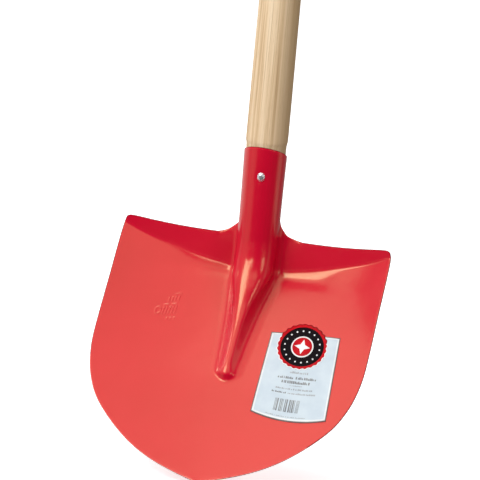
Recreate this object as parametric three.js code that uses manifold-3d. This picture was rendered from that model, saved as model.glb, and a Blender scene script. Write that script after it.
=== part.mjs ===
// Round-point shovel with a long ash handle.
// Millimetres, +Z up along the handle, the working (front) side of the blade faces -Y, +X to the right.
// The blade's tip touches Z = 0 and the object's box is centred on X = 0, Y = 0.
import * as THREE from 'three';
import { mergeVertices } from 'three/addons/utils/BufferGeometryUtils.js';
import Module from 'manifold-3d';

// ---------------------------------------------------------------- driving dimensions
const MOUTH_Z = 305.04;         // height of the socket mouth's centre above the blade tip
const AXIS_Y = 74.8;            // handle axis, measured from the middle of the box's depth
const SHEET = 1.2;              // sheet steel thickness
const MOUTH_SLANT = 0.43;       // the mouth is cut slanting, higher in front
const SEAM_HALF_DEG = 1.5;      // half of the open rear seam, in degrees of the socket
const SEAM_END = -52;           // the seam opens into the shoulders below this height
const SHOULDER_Z = -87;         // top edge of the shoulder walls beside the socket
const RIVET_Z = -20.3;            // rivet below the mouth
const RIVET_TURN_DEG = 6;       // the rivet stands a little right of the front line
const RIVET_SHANK_R = 2.9;
const RIVET_HOLE_R = 3.25;
const RIVET_HEAD_R = 4.4;
const RIVET_HEAD_H = 2.5;
const WASHER_R = 7;
const WASHER_T = 1.3;
const HANDLE_BOTTOM = -98;      // handle end inside the rib, measured from the mouth
const HANDLE_TOP = 1202;        // handle butt, measured from the mouth
const HANDLE_SIDES = 28;
const EDGE_TILT = 0.804;        // depth per height of the plane that holds the blade's edge
const EDGE_TOP_Z = -87.5;       // that plane crosses the handle axis here
const RAMP = 0.42;              // slope of the pan right under the crease
const CREASE_Y = 8;             // how far the crease lies behind the handle axis at the middle
const LABEL_T = 0.35;
const LABEL_GAP = 0.35;

// half width of the blade at heights below the mouth: [half width, height]
const EDGE = [
  [135.9, -87.3], [136.6, -97], [137.1, -114.6], [137.4, -132.4], [137.9, -150], [138.4, -167.7], [138.6, -185],
  [138.3, -194], [137.5, -202.5], [136.0, -211.2], [133.5, -219.7], [129.8, -228.4], [125.0, -236.6], [118.6, -244.7],
  [110.8, -252.3], [101.5, -260.1], [90.7, -268.2], [79.1, -275.5], [65.1, -283.0], [49.5, -290.1], [34.0, -295.8],
  [18.0, -300.4], [2.0, -304.2],
];
const TOP_EDGE = [[0, -87], [0.31, -87], [0.45, -86.8], [0.62, -85.8], [0.8, -83.7], [0.93, -81.6], [0.975, -81.2], [1, -82.8]];
const CREASE = [[0, -119.4], [0.2, -117.9], [0.31, -115.5], [0.42, -112.8], [0.5, -110.2], [0.6, -106.4], [0.7, -102.9], [0.8, -98.9], [0.9, -93.8], [1, -87.3]];
const DISH = [[-304.2, 0], [-290, 1.9], [-270, 4.6], [-240, 9.0], [-213, 13.5], [-196, 17.6], [-184, 20.5], [-165, 25.1], [-145, 30.0], [-132, 33.1], [-121, 35.8], [-109, 34.6], [-99, 34.0], [-87, 34.0]];
const CREASE_FILLET = [[0, 2.6], [0.31, 2.4], [0.42, 2.2], [0.5, 1.8], [0.6, 1.0], [0.7, 0.5], [0.85, 0.3], [1, 0.3]];   // depth of the hollow rounding under the crease
const CREST = [[-215, -92.2], [-210, -90.6], [-205, -88.2], [-196, -82.4], [-184, -73.0], [-167, -60.4], [-155, -52.2], [-145, -45.8], [-132, -38.6], [-121.5, -32.8], [-112, -27.6], [-100, -22.8], [-88, -20.7], [-80, -20.55]];
const RIB_R = [[-216, 12.0], [-207, 9.0], [-195, 4.8], [-180, 5.0], [-165, 6.2], [-150, 8.8], [-138, 13], [-128, 17], [-119, 19.6], [-87, 20.5]];
const RIB_FILLET = [[-216, 16], [-205, 15], [-195, 15], [-185, 16], [-145, 15], [-128, 12], [-116, 9], [-105, 8], [-87, 8]];
const RIB_SLOPE = [[-216, 46], [-200, 52], [-185, 58], [-165, 65], [-150, 71], [-136, 80], [-124, 89], [-119, 90], [-87, 90]];   // flanks, degrees
const SOCKET_R = [[-90, 20.5], [-52, 20.65], [0, 21.45], [12, 21.65]];

// mesh density of the sheet
const N_ARC = 9;                // cells over the front quarter turn and the rear one, each side
const N_WING = 7;               // cells over each wing
const ROWS_TUBE = 3;
const ROWS_OPEN = 7;
const ROWS_WALL = 4;
const PAN_ROWS = [0.025, 0.065, 0.12, 0.18, 0.24, 0.3, 0.36, 0.42, 0.48, 0.54, 0.6, 0.66, 0.72, 0.79, 0.86, 0.93, 1];
const ROWS_PAN = PAN_ROWS.length;

// ---------------------------------------------------------------- small maths
function table(points) {
  const p = [...points].sort((a, b) => a[0] - b[0]);
  const n = p.length;
  const d = [];
  for (let i = 0; i < n - 1; i++) d.push((p[i + 1][1] - p[i][1]) / (p[i + 1][0] - p[i][0]));
  const m = [d[0]];
  for (let i = 1; i < n - 1; i++) m.push(d[i - 1] * d[i] <= 0 ? 0 : (2 * d[i - 1] * d[i]) / (d[i - 1] + d[i]));
  m.push(d[n - 2]);
  return (x) => {
    if (x <= p[0][0]) return p[0][1];
    if (x >= p[n - 1][0]) return p[n - 1][1];
    let i = 0;
    while (x > p[i + 1][0]) i++;
    const h = p[i + 1][0] - p[i][0], t = (x - p[i][0]) / h, t2 = t * t, t3 = t2 * t;
    return (2 * t3 - 3 * t2 + 1) * p[i][1] + (t3 - 2 * t2 + t) * h * m[i] + (3 * t2 - 2 * t3) * p[i + 1][1] + (t3 - t2) * h * m[i + 1];
  };
}
const smooth = (a, b, x) => { const t = Math.min(1, Math.max(0, (x - a) / (b - a))); return t * t * (3 - 2 * t); };
const softMin = (a, b, k) => { const h = Math.max(k - Math.abs(a - b), 0) / k; return Math.min(a, b) - (h * h * k) / 4; };
const deg = Math.PI / 180;

const topEdge = table(TOP_EDGE), crease = table(CREASE), creaseFillet = table(CREASE_FILLET), dish = table(DISH), crest = table(CREST);
const ribR = table(RIB_R), ribFillet = table(RIB_FILLET), ribSlope = table(RIB_SLOPE), socketR = table(SOCKET_R);

// the outline as a curve over its own length
const edgeLen = [0];
for (let i = 1; i < EDGE.length; i++) edgeLen.push(edgeLen[i - 1] + Math.hypot(EDGE[i][0] - EDGE[i - 1][0], EDGE[i][1] - EDGE[i - 1][1]));
const edgeX = table(EDGE.map((e, i) => [edgeLen[i] / edgeLen.at(-1), e[0]]));
const edgeZ = table(EDGE.map((e, i) => [edgeLen[i] / edgeLen.at(-1), e[1]]));

// ---------------------------------------------------------------- the pressed sheet's front surface
const plane = (z) => EDGE_TILT * (z - EDGE_TOP_Z);
const creaseY = (u) => CREASE_Y * (1 - Math.pow(Math.abs(u), 2.2));

// depth of the wall and the pan without the rib, u = part of the half width
function baseY(u, z) {
  const a = Math.abs(u), k = crease(a), yc = creaseY(a), round = creaseFillet(a);
  const wall = yc + 0.06 * (z - k), ramp = yc + RAMP * (z - k);
  const far = (zz) => plane(zz) + dish(zz) * (1 - a * a), below = Math.max(k - z, 0);
  const pan = far(z) - (far(k) - yc - round) * Math.exp(-((below / 24) ** 2));
  return softMin(wall, softMin(ramp, pan, round), 0.9);
}
const ribHeight = (z) => Math.max(0, baseY(0, z) - crest(z)) * smooth(-216, -207, z);

// point on the half section made of an arc, a flank, a reversed fillet and a straight, s = 0..1
function sectionPoint(s, R, th1, flank, rho, phi, run) {
  const quarter = Math.min(th1, Math.PI / 2);
  if (s <= 0.5) { const t = 2 * s * quarter; return [R * Math.sin(t), -R * Math.cos(t)]; }
  const rest = th1 - quarter, parts = [R * rest, flank, rho * phi, run];
  let a = (2 * s - 1) * parts.reduce((x, y) => x + y, 0);
  let x = R * Math.sin(quarter), y = -R * Math.cos(quarter), dir = quarter;
  const take = Math.min(a, parts[0]);
  if (rest > 0) { const t = quarter + take / R; x = R * Math.sin(t); y = -R * Math.cos(t); dir = t; }
  a -= take;
  const f = Math.min(a, flank); x += f * Math.cos(dir); y += f * Math.sin(dir); a -= f;
  const g = rho > 0 ? Math.min(a / rho, phi) : 0;
  // the fillet turns the section back outwards
  x += rho * (Math.sin(dir) - Math.sin(dir - g)); y += rho * (Math.cos(dir - g) - Math.cos(dir));
  a -= g * rho; dir -= g;
  x += a * Math.cos(dir); y += a * Math.sin(dir);
  return [x, y];
}

// rows of the middle strip above the shoulders: v = 0 at the mouth, 1 at the shoulder's top edge
const openTurn = table([[-87, 90], [-80, 92], [-74, 97], [-68, 106], [-63, 122], [-58, 150], [-52, 180 - SEAM_HALF_DEG]]);
const openBack = table([[-87, 90], [-85.2, 84], [-82, 69], [-76, 44], [-70, 21], [-65, 6], [-61, 0], [-52, 0]]);
const openRun = table([[-87, 14.5], [-85.2, 8.7], [-82, 4.1], [-76, 2], [-70, 0.8], [-64, 0], [-52, 0]]);
const openFlank = table([[-87, 2.0], [-78, 0.8], [-70, 0], [-52, 0]]);
function upper(side, s, z) {
  const R = socketR(z);
  const th1 = z > SEAM_END ? (180 - SEAM_HALF_DEG) * deg : openTurn(z) * deg;
  const [x, y] = z > SEAM_END ? sectionPoint(s, R, th1, 0, 0, 0, 0)
    : sectionPoint(s, R, th1, openFlank(z), 8, openBack(z) * deg, openRun(z));
  return [side * x, y];
}
// rows of the middle strip below the shoulders' top edge
function middle(side, s, z, xJ, width) {
  const R = ribR(z), rho = ribFillet(z), h = ribHeight(z);
  const u = (x) => x / width;
  const th1 = Math.min(ribSlope(z) * deg, Math.acos(Math.max(-1, 1 - h / (R + rho))));
  const flank = h > 0 ? Math.max(0, (h - (R + rho) * (1 - Math.cos(th1))) / Math.max(Math.sin(th1), 1e-3)) : 0;
  const top = R * Math.sin(th1), foot = (R + rho) * Math.sin(th1) + flank * Math.cos(th1);
  const [xo, yo] = sectionPoint(s, R, th1, flank, rho, th1, Math.max(0.5, xJ - foot));
  const w = smooth(-145, -178, z) ;
  const x = (1 - w) * xo + w * xJ * s;
  let off;                        // how far the rib stands in front of the plain sheet
  if (w === 0) off = h - (yo + R);
  else if (x <= top) off = h - R + Math.sqrt(R * R - x * x);
  else if (x < top + flank * Math.cos(th1)) off = h - R * (1 - Math.cos(th1)) - (x - top) * Math.tan(th1);
  else if (x < foot) off = rho - Math.sqrt(Math.max(0, rho * rho - (foot - x) ** 2));
  else off = 0;
  return [side * x, baseY(u(x), z) - off];
}

const verts = [], index = new Map(), quads = [];
const key = (name, i, j) => `${name}:${i}:${j}`;
function vertex(k, p) { if (!index.has(k)) { index.set(k, verts.length); verts.push(p); } return index.get(k); }

const NC = 2 * N_ARC;             // middle strip: 2*NC cells, column c = -NC..NC
const ROWS_UP = ROWS_TUBE + ROWS_OPEN;
const ROWS_LOW = ROWS_WALL + ROWS_PAN;
const J = 0.31;                   // the middle strip's share of the half width
function lowRow(r) {              // parameters of row r below the shoulder's top edge
  if (r <= ROWS_WALL) return { t: 0, wall: r / ROWS_WALL };
  return { t: PAN_ROWS[r - ROWS_WALL - 1], wall: 1 };
}
function lowPoint(u, r) {         // height and width of row r at the part u of the half width
  const { t, wall } = lowRow(r);
  const a = Math.abs(u);
  if (wall < 1) return { z: topEdge(a) + (crease(a) - topEdge(a)) * wall, width: 134.6 + 1.3 * wall };
  const b = t < 0.72 ? (1 - t / 0.72) ** 2 : 0;
  return { z: edgeZ(t) + (crease(a) - crease(1)) * b, width: edgeX(t) };
}
for (let c = -NC; c <= NC; c++) {
  const side = c < 0 ? -1 : 1, s = Math.abs(c) / NC;
  for (let r = 0; r <= ROWS_UP; r++) {
    let z;
    if (r <= ROWS_TUBE) {
      const zm = MOUTH_SLANT * 21.6 * Math.cos(s * (180 - SEAM_HALF_DEG) * deg), v = r / ROWS_TUBE;
      z = zm * (1 - v) + SEAM_END * v;
    } else {
      const v = (r - ROWS_TUBE) / ROWS_OPEN;
      z = SEAM_END + (SHOULDER_Z - SEAM_END) * v;
    }
    const [x, y] = upper(side, s, z);
    vertex(key('m', c, r), [x, y, z]);
  }
  for (let r = 1; r <= ROWS_LOW; r++) {
    // the column's place across follows the section, its height follows the row there
    const at = lowPoint(J * s, r);
    const xJ = J * at.width;
    let [x, y] = middle(side, s, at.z, xJ, at.width);
    vertex(key('m', c, ROWS_UP + r), [x, y, at.z]);
  }
}
for (const side of [-1, 1]) for (let i = 0; i <= N_WING; i++) for (let r = 0; r <= ROWS_LOW; r++) {
  const f = i / N_WING, u = J + (1 - J) * f;
  const at = lowPoint(u, r);
  const k = i === 0 ? key('m', side * NC, ROWS_UP + r) : key('w' + side, i, r);
  vertex(k, [side * u * at.width, baseY(u, at.z), at.z]);
}
for (let c = -NC; c < NC; c++) for (let r = 0; r < ROWS_UP + ROWS_LOW; r++) {
  quads.push([[c, r], [c, r + 1], [c + 1, r + 1], [c + 1, r]].map(([a, b]) => index.get(key('m', a, b))));
}
for (const side of [-1, 1]) for (let i = 0; i < N_WING; i++) for (let r = 0; r < ROWS_LOW; r++) {
  const id = (a, b) => index.get(a === 0 ? key('m', side * NC, ROWS_UP + b) : key('w' + side, a, b));
  const q = [id(i, r), id(i, r + 1), id(i + 1, r + 1), id(i + 1, r)];
  quads.push(side > 0 ? q : q.reverse());
}

// ---------------------------------------------------------------- thickening a sheet of quads into a closed solid
function sheetSolid(points, cells, front, back) {
  const V = points.map((p) => new THREE.Vector3(...p));
  const N = V.map(() => new THREE.Vector3());
  for (const q of cells) {
    const [a, b, c, d] = q.map((i) => V[i]);
    const n = new THREE.Vector3().subVectors(c, a).cross(new THREE.Vector3().subVectors(d, b));
    for (const i of q) N[i].add(n);
  }
  N.forEach((n) => n.normalize());
  const pos = [], tris = [], n = V.length;
  for (const off of [front, -back]) V.forEach((v, i) => { const w = v.clone().addScaledVector(N[i], off); pos.push(w.x, w.y, w.z); });
  const edges = new Map();
  for (const q of cells) {
    const [a, b, c, d] = q;
    tris.push(a, b, c, a, c, d);
    tris.push(n + a, n + c, n + b, n + a, n + d, n + c);
    for (let e = 0; e < 4; e++) {
      const i = q[e], j = q[(e + 1) % 4];
      if (edges.has(`${j}_${i}`)) edges.delete(`${j}_${i}`); else edges.set(`${i}_${j}`, [i, j]);
    }
  }
  for (const [i, j] of edges.values()) tris.push(j, i, n + i, j, n + i, n + j);
  const g = new THREE.BufferGeometry();
  g.setAttribute('position', new THREE.Float32BufferAttribute(pos, 3));
  g.setIndex(tris);
  return g;
}

// ---------------------------------------------------------------- booleans
const wasm = await Module();
wasm.setup();
function solid(geometry) {
  const g = geometry.clone();
  g.deleteAttribute('normal'); g.deleteAttribute('uv');
  const m = mergeVertices(g, 1e-4);
  return new wasm.Manifold(new wasm.Mesh({ numProp: 3, vertProperties: new Float32Array(m.attributes.position.array), triVerts: new Uint32Array(m.index.array) }));
}
function geometryOf(manifold) {
  const m = manifold.getMesh(), g = new THREE.BufferGeometry(), pos = [];
  for (let i = 0; i < m.vertProperties.length; i += m.numProp) pos.push(m.vertProperties[i], m.vertProperties[i + 1], m.vertProperties[i + 2]);
  g.setAttribute('position', new THREE.Float32BufferAttribute(pos, 3));
  g.setIndex(Array.from(m.triVerts));
  g.computeVertexNormals();
  return g;
}
function lathe(points, sides) { return new THREE.LatheGeometry(points.map(([r, h]) => new THREE.Vector2(r, h)), sides); }
// turn +Y (lathe axis) to the front, -Y, then about Z to the rivet's bearing, then to the rivet's height
function placeRivet(g) {
  g.applyMatrix4(new THREE.Matrix4().makeRotationX(Math.PI));
  g.applyMatrix4(new THREE.Matrix4().makeRotationZ(RIVET_TURN_DEG * deg));
  g.applyMatrix4(new THREE.Matrix4().makeTranslation(0, 0, RIVET_Z));
  return g;
}

const shankCut = solid(placeRivet(new THREE.CylinderGeometry(RIVET_HOLE_R, RIVET_HOLE_R, 80, 16)));

// ---------------------------------------------------------------- blade with its rolled socket
const bladeGeometry = geometryOf(solid(sheetSolid(verts, quads, 0, SHEET)).subtract(shankCut));

// ---------------------------------------------------------------- handle
const inside = (z) => socketR(z) - SHEET - 0.5;
const handleProfile = [
  [0, HANDLE_BOTTOM], [11.5, HANDLE_BOTTOM], [12.6, HANDLE_BOTTOM + 1.2], [17.6, -72], [inside(-52), -52], [inside(-20), -20], [inside(9), 9.5],
  [20.8, 12.8], [20.92, 17], [20.62, 160], [19.4, 620], [18.2, 1150], [17.7, 1184], [15.6, 1197.5],
  [12.2, HANDLE_TOP], [0, HANDLE_TOP],
];
const handleLathe = lathe(handleProfile, HANDLE_SIDES);
handleLathe.applyMatrix4(new THREE.Matrix4().makeRotationX(Math.PI / 2));
const handleGeometry = geometryOf(solid(handleLathe).subtract(shankCut));

// ---------------------------------------------------------------- rivet and washer
const seat = socketR(RIVET_Z) + 0.32;       // the head's underside
const tail = seat + WASHER_T + 0.32;        // the set end's underside, behind
const headPoints = [];
for (let i = 0; i <= 4; i++) { const a = (i / 4) * Math.PI / 2; headPoints.push([RIVET_HEAD_R * Math.cos(a), seat + 0.5 + (RIVET_HEAD_H - 0.5) * Math.sin(a)]); }
headPoints[4][0] = 0;
const setPoints = [];
for (let i = 3; i >= 0; i--) { const a = (i / 3) * Math.PI / 2; setPoints.push([4.1 * Math.cos(a), -(tail + 0.3 + 1.5 * Math.sin(a))]); }
setPoints[0][0] = 0;
const rivetGeometry = placeRivet(lathe([...setPoints, [4.1, -tail], [RIVET_SHANK_R, -tail], [RIVET_SHANK_R, seat], [RIVET_HEAD_R, seat], ...headPoints], 16));
const washerGeometry = placeRivet(lathe([[RIVET_HOLE_R, -seat - WASHER_T], [WASHER_R - 0.4, -seat - WASHER_T], [WASHER_R, -seat - WASHER_T + 0.4], [WASHER_R, -seat], [RIVET_HOLE_R, -seat], [RIVET_HOLE_R, -seat - WASHER_T]], 18));

// ---------------------------------------------------------------- label and round seal, thin pieces that follow the pan
// corners as [across, height below the mouth]: top left, top right, bottom right, bottom left
const LABEL_CORNERS = [[32.7, -169.0], [104.5, -164.0], [112.0, -234.5], [34.0, -236.0]];
const LABEL_BULGE = 5;            // the label's lower edge is drawn as a shallow arc
const SEAL_AT = [67.9, -177.2];
const SEAL_R = 25.6;
const PAN_COS = 0.725;            // height per length along the pan where the seal sits
const widthAt = (z) => { let lo = 0, hi = 1; for (let i = 0; i < 40; i++) { const m = (lo + hi) / 2; if (edgeZ(m) > z) lo = m; else hi = m; } return edgeX(lo); };
const panPoint = (x, z) => [x, baseY(x / widthAt(z), z), z];
function patch(grid, lift) {
  const pts = [], cells = [], rows = grid.length, cols = grid[0].length;
  for (const row of grid) for (const [x, z] of row) pts.push(panPoint(x, z));
  for (let r = 0; r < rows - 1; r++) for (let c = 0; c < cols - 1; c++) cells.push([r * cols + c, (r + 1) * cols + c, (r + 1) * cols + c + 1, r * cols + c + 1]);
  return sheetSolid(pts, cells, lift + LABEL_T, -lift);
}

const LABEL_COLS = 7, LABEL_ROWS = 7, SEAL_CELLS = 8;
const labelGrid = [];
for (let r = 0; r <= LABEL_ROWS; r++) {
  const row = [], v = r / LABEL_ROWS, [tl, tr, br, bl] = LABEL_CORNERS;
  for (let c = 0; c <= LABEL_COLS; c++) {
    const u = c / LABEL_COLS;
    const mix = (k) => (1 - v) * ((1 - u) * tl[k] + u * tr[k]) + v * ((1 - u) * bl[k] + u * br[k]);
    row.push([mix(0), mix(1) - LABEL_BULGE * v * v * (1 - (2 * u - 1) ** 2)]);
  }
  labelGrid.push(row);
}
const sealGrid = [];
for (let r = 0; r <= SEAL_CELLS; r++) {
  const row = [], v = 1 - (2 * r) / SEAL_CELLS;
  for (let c = 0; c <= SEAL_CELLS; c++) {
    const u = (2 * c) / SEAL_CELLS - 1;
    row.push([SEAL_AT[0] + SEAL_R * u * Math.sqrt(1 - (v * v) / 2), SEAL_AT[1] + SEAL_R * PAN_COS * v * Math.sqrt(1 - (u * u) / 2)]);
  }
  sealGrid.push(row);
}

const group = new THREE.Group();
group.position.set(0, AXIS_Y, MOUTH_Z);
function add(name, geometry, color, roughness, metalness) {
  const mesh = new THREE.Mesh(geometry, new THREE.MeshStandardMaterial({ color, roughness, metalness }));
  mesh.name = name;
  group.add(mesh);
}
add('blade', bladeGeometry, 0xd8322f, 0.38, 0.0);
add('handle', handleGeometry, 0xe3c39a, 0.6, 0.0);
add('rivet', rivetGeometry, 0xc9ccd0, 0.3, 1.0);
add('rivet_washer', washerGeometry, 0xb9bcc0, 0.35, 1.0);
add('paper_label', patch(labelGrid, LABEL_GAP), 0xd3dde2, 0.5, 0.0);
add('round_seal', patch(sealGrid, LABEL_GAP + LABEL_T + 0.3), 0x8f1420, 0.45, 0.0);

export default group;
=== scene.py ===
import math
import bpy
import numpy as np
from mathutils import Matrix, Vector


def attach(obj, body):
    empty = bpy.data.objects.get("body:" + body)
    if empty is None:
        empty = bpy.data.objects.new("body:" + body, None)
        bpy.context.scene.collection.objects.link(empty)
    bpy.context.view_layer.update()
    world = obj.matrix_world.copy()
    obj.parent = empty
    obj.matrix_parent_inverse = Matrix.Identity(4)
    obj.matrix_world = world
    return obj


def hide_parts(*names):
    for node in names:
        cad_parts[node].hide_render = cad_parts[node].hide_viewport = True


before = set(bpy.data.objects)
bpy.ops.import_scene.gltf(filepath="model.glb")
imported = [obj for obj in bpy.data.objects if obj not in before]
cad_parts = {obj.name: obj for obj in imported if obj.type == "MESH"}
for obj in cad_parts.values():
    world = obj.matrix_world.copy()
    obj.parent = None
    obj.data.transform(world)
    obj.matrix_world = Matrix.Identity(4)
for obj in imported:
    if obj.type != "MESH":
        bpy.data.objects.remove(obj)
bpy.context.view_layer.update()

# Lengths below are millimetres from the middle of the socket's mouth; put() turns them into metres in the frame.
AXIS_Y, MOUTH_Z = 74.8, 305.04
SHEET = 1.2
DEG = math.pi / 180


# ------------------------------------------------------------------ small maths
def table(points):
    p = np.array(sorted(points), float)
    x, y = p[:, 0], p[:, 1]
    d = np.diff(y) / np.diff(x)
    m = np.empty(len(x))
    m[0], m[-1] = d[0], d[-1]
    for i in range(1, len(x) - 1):
        m[i] = 0 if d[i - 1] * d[i] <= 0 else 2 * d[i - 1] * d[i] / (d[i - 1] + d[i])

    def f(v):
        v = np.clip(np.asarray(v, float), x[0], x[-1])
        i = np.clip(np.searchsorted(x, v, side="right") - 1, 0, len(x) - 2)
        h = x[i + 1] - x[i]
        t = (v - x[i]) / h
        t2, t3 = t * t, t * t * t
        return (2 * t3 - 3 * t2 + 1) * y[i] + (t3 - 2 * t2 + t) * h * m[i] + (3 * t2 - 2 * t3) * y[i + 1] + (t3 - t2) * h * m[i + 1]

    return f


def smooth(a, b, x):
    t = np.clip((np.asarray(x, float) - a) / (b - a), 0, 1)
    return t * t * (3 - 2 * t)


def soft_min(a, b, k):
    h = np.maximum(k - np.abs(a - b), 0) / k
    return np.minimum(a, b) - h * h * k / 4


# ------------------------------------------------------------------ the pressed sheet
EDGE = np.array([
    [135.9, -87.3], [136.6, -97], [137.1, -114.6], [137.4, -132.4], [137.9, -150], [138.4, -167.7], [138.6, -185],
    [138.2, -193.8], [137.1, -201.9], [135.3, -210.1], [132.7, -218.2], [128.9, -226.5], [124.1, -234.6], [117.7, -242.6],
    [109.9, -250.1], [100.8, -257.8], [90.0, -265.8], [78.4, -273.2], [64.5, -280.5], [49.0, -286.9], [33.7, -291.9],
    [18.0, -296.2], [2.0, -300.0]])
top_edge = table([[0, -87], [0.31, -87], [0.45, -86.8], [0.62, -85.8], [0.8, -83.7], [0.93, -81.6], [0.975, -81.2], [1, -82.8]])
crease = table([[0, -119.4], [0.2, -117.9], [0.31, -115.5], [0.42, -112.8], [0.5, -110.2], [0.6, -106.4], [0.7, -102.9], [0.8, -98.9], [0.9, -93.8], [1, -87.3]])
fillet = table([[0, 2.6], [0.31, 2.4], [0.42, 2.2], [0.5, 1.8], [0.6, 1.0], [0.7, 0.5], [0.85, 0.3], [1, 0.3]])
dish = table([[-304.2, 0], [-290, 1.9], [-270, 4.6], [-240, 9.0], [-213, 13.5], [-196, 17.6], [-184, 20.5], [-165, 25.1], [-145, 30.0], [-132, 33.1],
              [-121, 35.8], [-109, 34.6], [-99, 34.0], [-87, 34.0]])
crest = table([[-215, -92.2], [-210, -90.6], [-205, -88.2], [-196, -82.4], [-184, -73.0], [-167, -60.4], [-155, -52.2], [-145, -45.8],
               [-132, -38.6], [-121.5, -32.8], [-112, -27.6], [-100, -22.8], [-88, -20.7], [-80, -20.55]])
rib_r = table([[-216, 12.0], [-207, 9.0], [-195, 4.8], [-180, 5.0], [-165, 6.2], [-150, 8.8], [-138, 13], [-128, 17], [-119, 19.6], [-87, 20.5]])
rib_fillet = table([[-216, 16], [-205, 15], [-195, 15], [-185, 16], [-145, 15], [-128, 12], [-116, 9], [-105, 8], [-87, 8]])
rib_slope = table([[-216, 46], [-200, 52], [-185, 58], [-165, 65], [-150, 71], [-136, 80], [-124, 89], [-119, 90], [-87, 90]])
socket_r = table([[-90, 20.5], [-52, 20.65], [0, 21.45], [12, 21.65]])
SEAM_HALF, SEAM_END, SHOULDER_Z, J = 1.5, -52.0, -87.0, 0.31
RIVET_Z = -20.3
MOUTH_SLANT = 0.43
open_turn = table([[-87, 90], [-80, 92], [-74, 97], [-68, 106], [-63, 122], [-58, 150], [-52, 180 - SEAM_HALF]])
open_back = {1: table([[-87, 90], [-85.5, 84], [-82, 64], [-76, 38], [-70, 18], [-65, 6], [-61, 0], [-52, 0]]),
             -1: table([[-87, 90], [-85, 84], [-82, 73], [-76, 50], [-70, 24], [-65, 6], [-61, 0], [-52, 0]])}
open_run = {1: table([[-87, 14.5], [-85.5, 8.2], [-82, 2.6], [-76, 1.4], [-70, 0.6], [-64, 0], [-52, 0]]),
            -1: table([[-87, 14.5], [-85, 9.2], [-82, 5.6], [-76, 2.6], [-70, 1], [-64, 0], [-52, 0]])}
open_flank = table([[-87, 2.0], [-78, 0.8], [-70, 0], [-52, 0]])

_len = np.concatenate([[0], np.cumsum(np.hypot(*np.diff(EDGE, axis=0).T))])
edge_x = table(np.column_stack([_len / _len[-1], EDGE[:, 0]]).tolist())
edge_z = table(np.column_stack([_len / _len[-1], EDGE[:, 1]]).tolist())
_zs = edge_z(np.linspace(0, 1, 4001))[::-1]
_ws = edge_x(np.linspace(0, 1, 4001))[::-1]


def width_at(z):
    return np.interp(z, _zs, _ws)


def plane(z):
    return 0.804 * (z + 87.5)


def base_y(u, z):
    a = np.abs(u)
    k, yc = crease(a), 8 * (1 - a ** 2.2)
    wall = yc + 0.06 * (z - k)
    ramp = yc + 0.42 * (z - k)
    deep, below = plane(k) + dish(k) * (1 - a * a) - yc, np.maximum(k - z, 0)
    pan = plane(z) + dish(z) * (1 - a * a) - (deep - fillet(a)) * np.exp(-(below / 24) ** 2)
    pan = soft_min(ramp, pan, fillet(a))
    return soft_min(wall, pan, 0.9)


def rib_height(z):
    return np.maximum(0, base_y(0.0, z) - crest(z)) * smooth(-216, -207, z)


def section(s, R, th1, flank, rho, phi, run):
    """Point on the half section: an arc, a flank, a fillet turned back outwards and a straight, s = 0..1."""
    quarter = min(th1, math.pi / 2)
    if s <= 0.5:
        t = 2 * s * quarter
        return R * math.sin(t), -R * math.cos(t)
    rest = th1 - quarter
    a = (2 * s - 1) * (R * rest + flank + rho * phi + run)
    t = quarter + min(a, R * rest) / R
    x, y, d = R * math.sin(t), -R * math.cos(t), t
    a = max(0.0, a - R * rest)
    f = min(a, flank)
    x += f * math.cos(d); y += f * math.sin(d); a -= f
    g = min(a / rho, phi) if rho > 0 else 0.0
    x += rho * (math.sin(d) - math.sin(d - g)); y += rho * (math.cos(d - g) - math.cos(d))
    a -= g * rho; d -= g
    return x + a * math.cos(d), y + a * math.sin(d)


def upper(s, z, side):
    if z > SEAM_END:
        return section(s, float(socket_r(z)), (180 - SEAM_HALF) * DEG, 0, 0, 0, 0)
    return section(s, float(socket_r(z)), float(open_turn(z)) * DEG, float(open_flank(z)), 8, float(open_back[side](z)) * DEG, float(open_run[side](z)))


def middle(s, z, width):
    R, rho, h = float(rib_r(z)), float(rib_fillet(z)), float(rib_height(z))
    th1 = min(float(rib_slope(z)) * DEG, math.acos(max(-1.0, 1 - h / (R + rho))))
    flank = max(0.0, (h - (R + rho) * (1 - math.cos(th1))) / max(math.sin(th1), 1e-3)) if h > 0 else 0.0
    foot = (R + rho) * math.sin(th1) + flank * math.cos(th1)
    xj = J * width
    xo, yo = section(s, R, th1, flank, rho, th1, max(0.5, xj - foot))
    w = float(smooth(-145, -178, z))
    x = (1 - w) * xo + w * xj * s
    if w == 0:
        off = h - (yo + R)
    elif x <= R * math.sin(th1):
        off = h - R + math.sqrt(R * R - x * x)
    elif x < R * math.sin(th1) + flank * math.cos(th1):
        off = h - R * (1 - math.cos(th1)) - (x - R * math.sin(th1)) * math.tan(th1)
    elif x < foot:
        off = rho - math.sqrt(max(0.0, rho * rho - (foot - x) ** 2))
    else:
        off = 0.0
    return x, float(base_y(x / width, z)) - off


NA = 30                                   # cells per quarter turn of the middle strip
NC = 2 * NA
R_TUBE, R_OPEN = 22, 34
WALL_ROWS = np.concatenate([np.linspace(0, 0.8, 12, endpoint=False), np.linspace(0.8, 1, 10)])
PAN_ROWS = np.concatenate([np.linspace(0, 0.095, 46, endpoint=False), np.linspace(0.095, 0.165, 16, endpoint=False),
                           np.linspace(0.165, 0.30, 46, endpoint=False), np.linspace(0.30, 1, 88)])[1:]
R_WALL, R_PAN = len(WALL_ROWS) - 1, len(PAN_ROWS)
WING = {1: np.linspace(0.31, 1, 67)[1:],
        -1: np.concatenate([np.linspace(0.31, 0.36, 5, endpoint=False), np.linspace(0.36, 0.67, 80, endpoint=False), np.linspace(0.67, 1, 34)])[1:]}


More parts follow.
